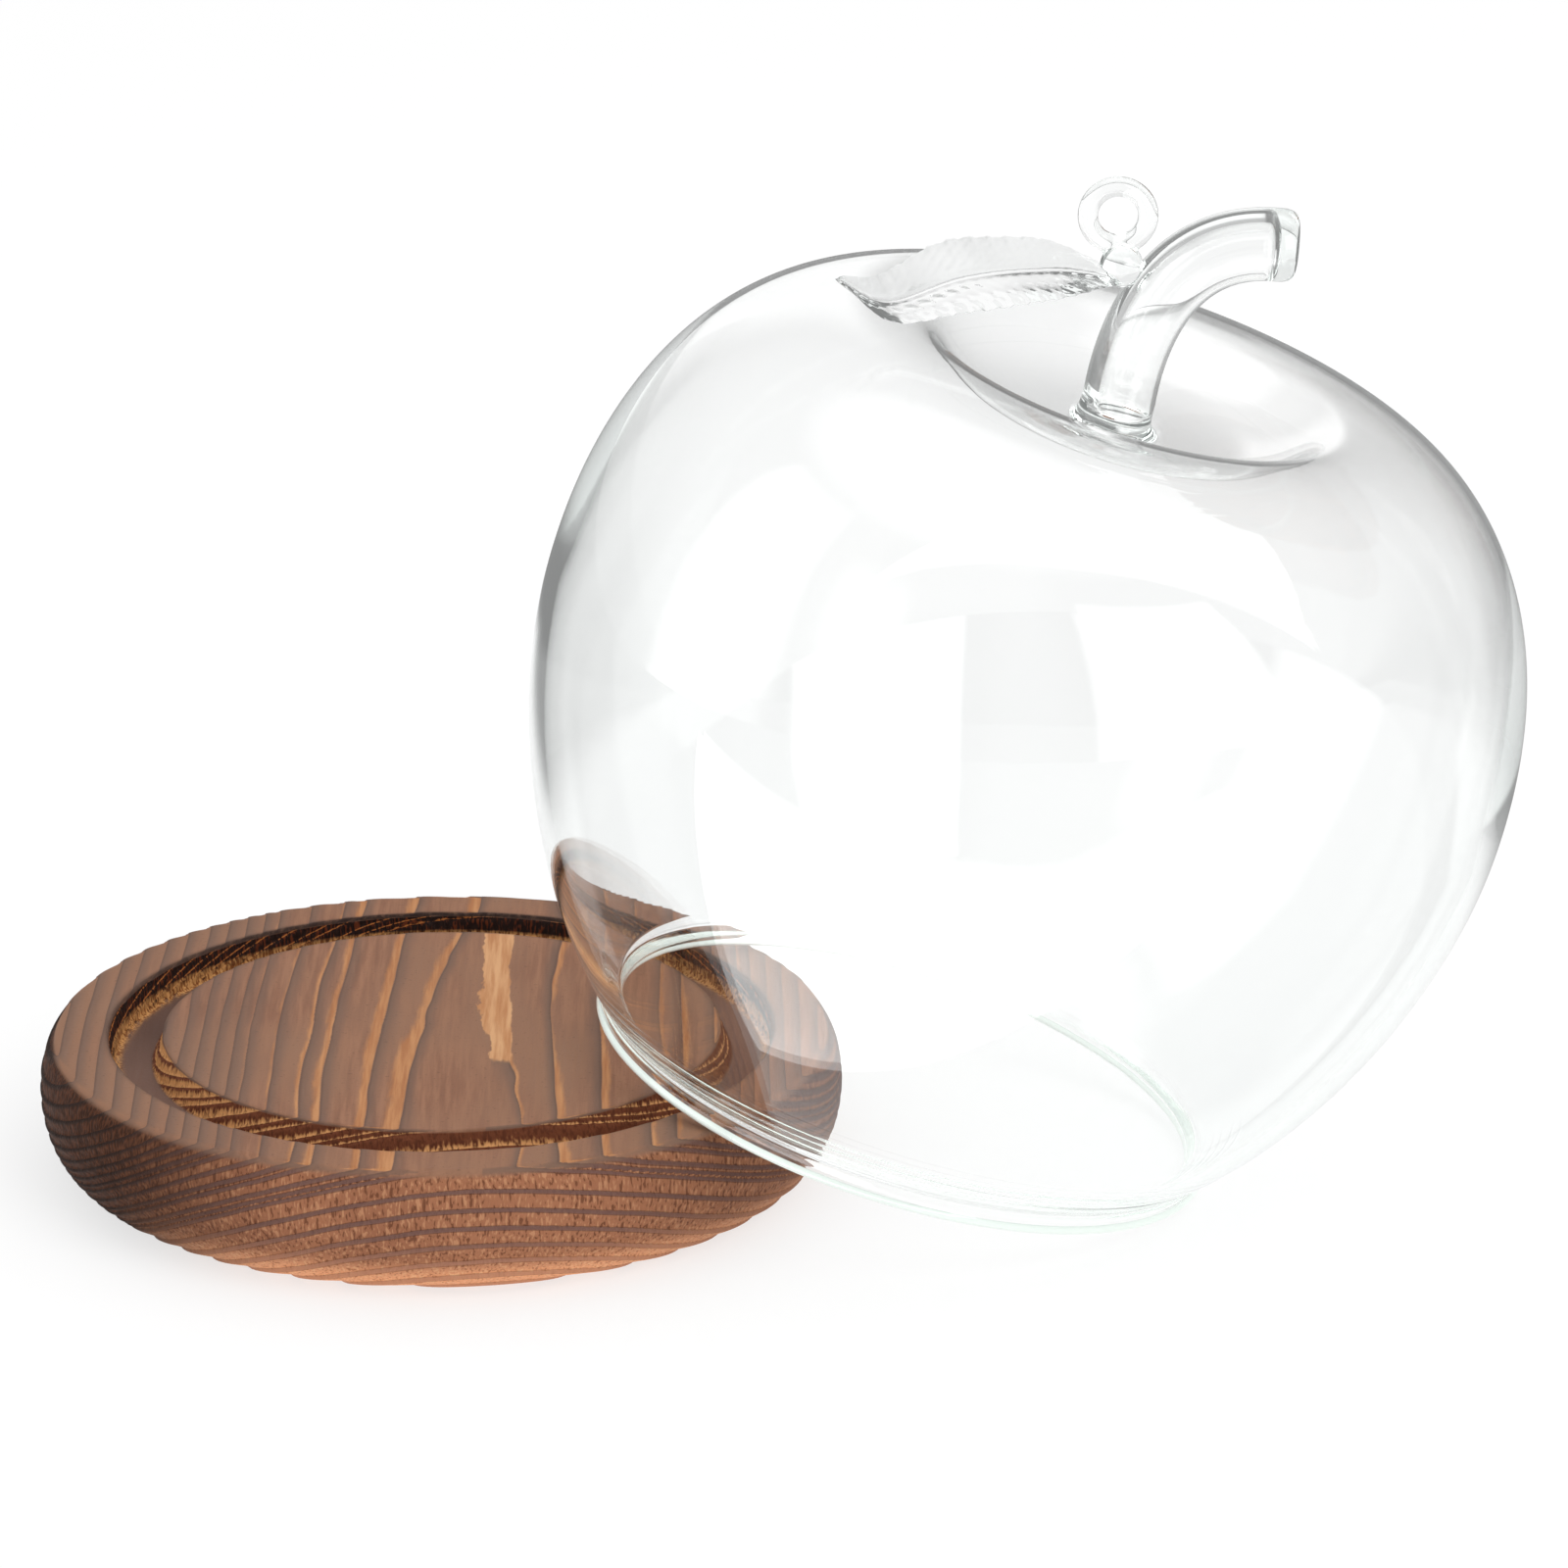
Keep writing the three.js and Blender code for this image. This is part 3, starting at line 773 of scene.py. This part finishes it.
def torus(centre, radius, rod, cols=96, rows=32):
    """A ring that stands upright, in the XZ plane."""
    a = around(cols)[:, None]
    b = around(rows)[None, :]
    r = radius + rod * np.cos(b)
    return wrapped(np.stack([r * np.cos(a), rod * np.sin(b) + 0 * a, r * np.sin(a)], -1) + centre)


def tube(line, radii, cols=20):
    """A round bar along any line that isn't near upright."""
    along = heading(line)
    side = unit(np.cross(along, np.array([0.1, 0.3, 0.95])))
    over = np.cross(side, along)
    angle = around(cols)
    r = np.asarray(radii, float)[:, None, None]
    turn = np.cos(angle)[None, :, None] * side[:, None] + np.sin(angle)[None, :, None] * over[:, None]
    verts, faces = strip(line[:, None] + r * turn, line[0], line[-1])
    return verts, inside_out(faces)


def leaf_mesh():
    """A blade with a midrib and slanting veins pressed into it, wavy and ragged along its edges."""
    line = even(spline(MIDRIB, 30), 0.35)
    along = heading(line)
    level = unit(np.stack([-along[:, 1], along[:, 0], 0 * along[:, 0]], 1))
    side = level * math.cos(LEAF_ROLL) + np.cross(along, level) * math.sin(LEAF_ROLL)
    over = np.cross(along, side)
    t = np.linspace(0, 1, len(line))[:, None]
    angle = around(LEAF_AROUND)[None, :]
    share = np.cos(angle) + 0 * t  # across the blade, from -1 to 1
    lower = np.sin(angle) < 0
    distance = t * LEAF_LENGTH
    point = np.sqrt(np.clip(1 - ((np.clip(t, 0.94, 1) - 0.94) / 0.0605) ** 2, 0, 1))
    half = STALK_HALF + (LEAF_HALF - STALK_HALF) * np.sin(math.pi * np.clip(t, 0.002, 0.998) ** 0.9) ** 0.8
    ragged = 0.02 * np.sin(distance * 1.9 + 6 * (share > 0)) + 0.012 * np.sin(distance * 4.3 + 1.3)
    across = share * half * point * (1 + ragged * np.abs(share))

    thick = LEAF_THICK * (1 - 0.80 * share**2) * (1 - 0.45 * ease(t, 0.55, 0.95))
    vein = np.sin(FULL_TURN * (distance + VEIN_SLANT * np.abs(across)) / VEIN_STEP)
    vein_depth = np.where(lower, 0.0, np.where(share < 0, VEIN_NEAR, VEIN_FAR))
    rib = np.exp(-(across / 0.8) ** 2)
    up = np.sin(angle) * thick * point + 0.35 * share**2
    up = up + vein_depth * vein * (np.abs(share) > 0.08) * (1 - share**4)
    up = up + 0.2 * rib * point * np.where(lower, -1, 1)
    up = up + 0.2 * np.sin(distance * 0.4) * share
    rings = line[:, None] + across[..., None] * side[:, None] + up[..., None] * over[:, None]
    verts, faces = strip(rings, line[0] - 0.4 * along[0], line[-1] + 0.4 * along[-1])
    return verts, inside_out(faces)


def ornament(material):
    """The hanging ring and the bead, melted into one lump."""
    ring = outward("ring", *torus(RING_AT, RING_R, RING_ROD), material)
    bead = outward("bead", *ball(BEAD_AT, BEAD_HALF), material)
    foot_line = spline(RING_FOOT, 8)
    foot = outward("ring_foot", *tube(foot_line, np.linspace(2.0, 1.5, len(foot_line))), material)
    lump = united(ring, bead, foot)
    melt = lump.modifiers.new("melt", "REMESH")
    melt.mode, melt.voxel_size = "VOXEL", 0.28
    soften = lump.modifiers.new("soften", "SMOOTH")
    soften.factor, soften.iterations = 0.5, 6
    apply_modifiers(lump)
    return lump


# ---------------------------------------------------------------- glass
MOST_MIRRORED = 3.5  # times that light is mirrored inside the glass before it is let out


def glass_material():
    mat = bpy.data.materials.new("clear_glass")
    n = Nodes(mat)
    shader = n.add("ShaderNodeBsdfPrincipled")
    shader.inputs["Base Color"].default_value = (1, 1, 1, 1)
    shader.inputs["Transmission Weight"].default_value = 1.0
    shader.inputs["Roughness"].default_value = 0.0
    shader.inputs["IOR"].default_value = 1.5
    clear = n.add("ShaderNodeBsdfTransparent")
    clear.inputs["Color"].default_value = (0.97, 0.97, 0.97, 1)
    # shadows and soft light pass straight through, and light caught between two faces gets out in the end
    light = n.add("ShaderNodeLightPath").outputs
    soft = n.most(light["Is Shadow Ray"], light["Is Diffuse Ray"])
    caught = n.math("GREATER_THAN", light["Glossy Depth"], MOST_MIRRORED)
    tint = n.add("ShaderNodeVolumeAbsorption")
    tint.inputs["Color"].default_value = (0.55, 0.86, 0.74, 1)
    tint.inputs["Density"].default_value = 9.0
    n.finish(n.blend(n.most(soft, caught), shader.outputs[0], clear.outputs[0]), tint.outputs[0])
    return mat


def painted_rim_glow_material():
    """Painted light: a pale, opaque finish for the core in the rim, standing for the glass seen along its
    edge, where it is full of light.
    """
    mat = bpy.data.materials.new("painted_rim_glow")
    n = Nodes(mat)
    shader = n.add("ShaderNodeBsdfPrincipled")
    shader.inputs["Base Color"].default_value = (0.90, 0.97, 0.92, 1)
    shader.inputs["Roughness"].default_value = 0.25
    n.finish(shader.outputs[0])
    return mat


# ---------------------------------------------------------------- pieces
wood = wood_base(wood_material())
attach(wood, "base")
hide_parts("wood_base")

clear_glass = glass_material()
jar = jar_glass(clear_glass)
trim = ornament(clear_glass)
leaf = outward("leaf", *leaf_mesh(), clear_glass)
for piece in (trim, leaf):
    piece.data.transform(to_row)
jar = united(jar, trim, leaf)
smooth(jar)
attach(jar, "jar")
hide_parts("glass_dome", "stem_weld", "glass_stem", "leaf_bead", "glass_leaf", "hanging_ring")

# painted light: a pale ring inside the rim stands for the light that the glass carries along its edge
rim = painted_rim_glow(painted_rim_glow_material())
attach(rim, "jar")
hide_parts("glass_dome")


# ---------------------------------------------------------------- floor, light and surroundings
# To the eye and to soft light, all around is white. What the glass mirrors is a dim room with
# bright windows, beside a narrow white sweep, and a bright sheet on the floor in front.
FLOOR_HALF, FLOOR_DROP = 30.0, 0.0001
FLOOR_COLOUR, FLOOR_GLOW = 0.3, 0.70
SWEEP_X = 0.05  # the middle of the white sweep
DIM_FLOOR, DIMMER_FAR_OFF = 0.36, 0.10
# the sheet's back edges, each through (x, y) with a slope, its front edge and its brightness
SHEET_EDGES = ((-0.03, -0.071, 0.167), (0.018, -0.063, -0.70))
SHEET_FRONT, SHEET_SOFT, SHEET_GLOW = -0.30, 0.0004, 4.0
# windows: degrees round from the front towards +X, degrees up, softness of the edges, brightness
WINDOWS = (
    ((14, 58), (-30, 42), 0.02, 3.2),
    ((-56, -36), (-30, 36), 0.06, 1.1),
    ((-100, -66), (-30, 50), 0.05, 1.9),
)
ROOM_LEFT, ROOM_RIGHT, ROOM_ABOVE, ROOM_BEHIND, STUDIO = 0.62, 0.30, 1.1, 0.75, 1.04
LAMP_TARGET = Vector((0.05, 0, 0.05))


def mirrored(n):
    """1 for light that the glass has mirrored at least once on its way to the eye."""
    return n.least(n.add("ShaderNodeLightPath").outputs["Glossy Depth"], 1.0)


def floor():
    mat = bpy.data.materials.new("floor_white")
    n = Nodes(mat)
    x, y, _ = n.split(n.add("ShaderNodeTexCoord").outputs["Object"])
    seen = mirrored(n)
    white = n.add("ShaderNodeAddShader")
    lit = n.add("ShaderNodeBsdfDiffuse")
    lit.inputs["Color"].default_value = (FLOOR_COLOUR, FLOOR_COLOUR, FLOOR_COLOUR, 1)
    n.put(white.inputs[0], lit.outputs[0])
    n.put(white.inputs[1], n.emission(FLOOR_GLOW))

    far = n.ramp(y, 0.27, 0.32)
    off_sweep = n.times(n.ramp(y, 0.06, 0.16), n.ramp(n.size(n.minus(x, SWEEP_X)), 0.08, 0.14))
    dim = n.times(seen, n.most(far, off_sweep))
    dark = n.emission(n.minus(DIM_FLOOR, n.times(far, DIMMER_FAR_OFF)))

    inside = [n.minus(n.plus(y0, n.times(slope, n.minus(x, x0))), y) for x0, y0, slope in SHEET_EDGES]
    sheet = n.times(seen, n.ramp(n.least(*inside), -SHEET_SOFT, SHEET_SOFT))
    sheet = n.times(sheet, n.ramp(y, SHEET_FRONT, SHEET_FRONT + 0.04))
    surface = n.blend(dim, white.outputs[0], dark)
    n.finish(n.blend(sheet, surface, n.emission(SHEET_GLOW)))

    corners = [(a * FLOOR_HALF, b * FLOOR_HALF, 0) for a, b in ((-1, -1), (1, -1), (1, 1), (-1, 1))]
    obj = make("floor", corners, [[0, 1, 2, 3]], mat)
    obj.location.z = -FLOOR_DROP


def lamp(name, location, size, power):
    """A soft lamp that lights the wood and isn't seen in the glass."""
    data = bpy.data.lights.new(name, "AREA")
    data.shape, data.size, data.size_y, data.energy = "RECTANGLE", size[0], size[1], power
    obj = bpy.data.objects.new(name, data)
    obj.location = location
    obj.rotation_euler = (LAMP_TARGET - Vector(location)).to_track_quat("-Z", "Y").to_euler()
    obj.visible_glossy = False
    obj.visible_transmission = False
    obj.visible_camera = False
    bpy.context.scene.collection.objects.link(obj)


def surroundings():
    world = bpy.data.worlds.new("studio")
    bpy.context.scene.world = world
    n = Nodes(world)
    x, y, z = n.split(n.add("ShaderNodeTexCoord").outputs["Generated"])
    turn = n.math("ARCTAN2", x, n.times(y, -1.0))  # 0 towards -Y, positive towards +X

    def between(value, lo, hi, soft):
        return n.times(n.ramp(value, lo - soft, lo + soft), n.ramp(value, hi - soft, hi + soft, 1.0, 0.0))

    level = n.ramp(x, 0.0, 0.2, ROOM_LEFT, ROOM_RIGHT)
    for sides, heights, soft, glow in WINDOWS:
        across = between(turn, *(math.radians(v) for v in sides), soft)
        upright = between(z, *(math.sin(math.radians(v)) for v in heights), soft)
        level = n.plus(level, n.times(n.times(across, upright), glow))
    level = n.plus(level, n.times(n.ramp(z, 0.78, 0.9), ROOM_ABOVE))
    behind = n.times(n.ramp(y, 0.80, 0.94), n.ramp(x, 0.02, 0.12, 1.0, 0.0))
    level = n.plus(level, n.times(behind, ROOM_BEHIND))
    seen = mirrored(n)
    strength = n.plus(n.times(seen, level), n.times(n.minus(1.0, seen), STUDIO))
    background = n.add("ShaderNodeBackground")
    n.put(background.inputs["Strength"], strength)
    n.finish(background.outputs[0], kind="ShaderNodeOutputWorld")


floor()
surroundings()
lamp("key", (0.8, -0.9, 1.1), (1.0, 0.8), 6.0)
lamp("top", (0.1, 0.2, 1.6), (1.6, 1.6), 4.0)
